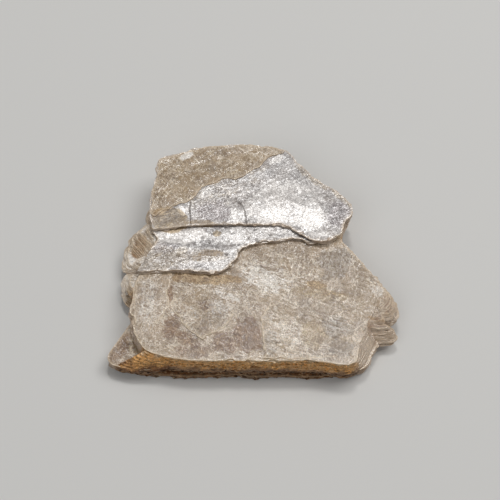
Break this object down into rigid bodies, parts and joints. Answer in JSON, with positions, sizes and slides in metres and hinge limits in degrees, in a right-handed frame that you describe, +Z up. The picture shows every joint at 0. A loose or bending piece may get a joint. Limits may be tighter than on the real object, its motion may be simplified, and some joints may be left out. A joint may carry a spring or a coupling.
{
  "type": "mica crystal",
  "caption": "Hand-sized book of muscovite mica: stacked cleavage sheets with stepped plates, ragged layered edges and a flat underside.",
  "frame": {"origin": "under the middle of the specimen's bounding box, on the surface that it lies on", "axes": "+X along the width, the longest extent; +Y from the straight front edge to the back plate; +Z up, out of the sheets, the shortest extent"},
  "size_m": [0.0732, 0.0652, 0.0113],
  "materials": {
    "mica": "pearly silver-beige cleavage faces with golden-brown layered edges"
  },
  "bodies": {
    "root": {"mica_crystal": "mica"}
  },
  "joints": []
}
